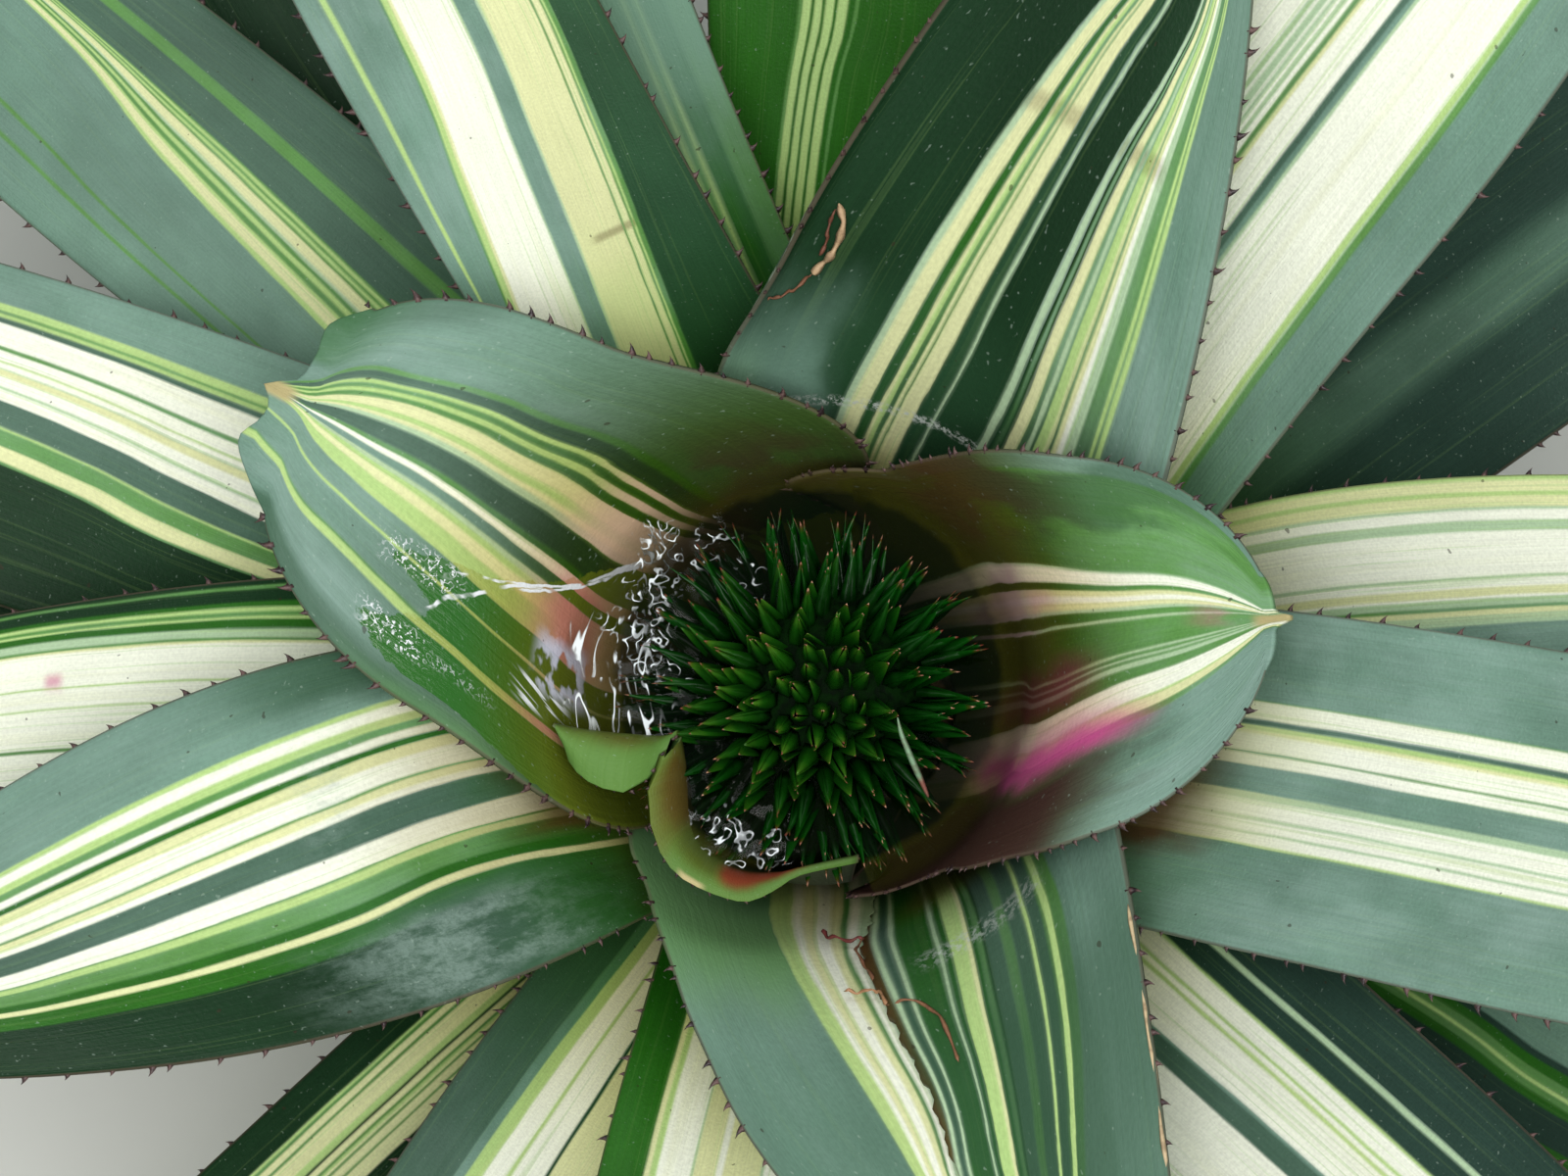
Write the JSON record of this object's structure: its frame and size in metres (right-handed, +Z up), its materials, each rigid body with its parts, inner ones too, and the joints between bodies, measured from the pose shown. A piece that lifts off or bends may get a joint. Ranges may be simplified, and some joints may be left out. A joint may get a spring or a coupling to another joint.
{
  "type": "neoregelia",
  "caption": "Striped bromeliad rosette with arching strap leaves, a domed dark flower head standing in the water of its cup, and a short stem cut flat at the ground.",
  "frame": {"origin": "middle of the flat cut under the stem, at ground level", "axes": "+Z up out of the ground; +X to the right and +Y away from the camera in the source picture"},
  "size_m": [0.4363, 0.4395, 0.1716],
  "materials": {
    "striped_leaf": "waxy leaf, grey-green with cream and lime stripes",
    "dark_leaf": "older leaf, plain dark green with few stripes",
    "inner_bract": "olive green with a red-brown rim",
    "flower_head": "glossy wet bracts, very dark green with brown tips",
    "spines": "small dark purple-brown teeth",
    "dry_fibre": "dried brown edge and fibres",
    "water": "still water, dark and mirror-like with small ripples",
    "stem": "rough pale brown, with scars of old leaves"
  },
  "bodies": {
    "root": {"stem": "stem", "flower_head": "flower_head", "pooled_water": "water", "inner_bract": "inner_bract", "cup_leaf_right": "striped_leaf", "cup_leaf_left": "striped_leaf", "torn_leaf": "striped_leaf", "leaf_04": "striped_leaf", "leaf_05": "striped_leaf", "leaf_06": "striped_leaf", "leaf_07": "striped_leaf", "leaf_08": "striped_leaf", "leaf_09": "striped_leaf", "leaf_10": "striped_leaf", "leaf_11": "striped_leaf", "leaf_12": "dark_leaf", "leaf_13": "striped_leaf", "leaf_14": "striped_leaf", "leaf_15": "striped_leaf", "leaf_16": "striped_leaf", "leaf_17": "striped_leaf", "leaf_18": "striped_leaf", "leaf_19": "striped_leaf", "leaf_20": "striped_leaf", "leaf_21": "dark_leaf", "leaf_22": "dark_leaf", "leaf_23": "dark_leaf", "leaf_24": "dark_leaf", "leaf_25": "dark_leaf"}
  },
  "joints": []
}
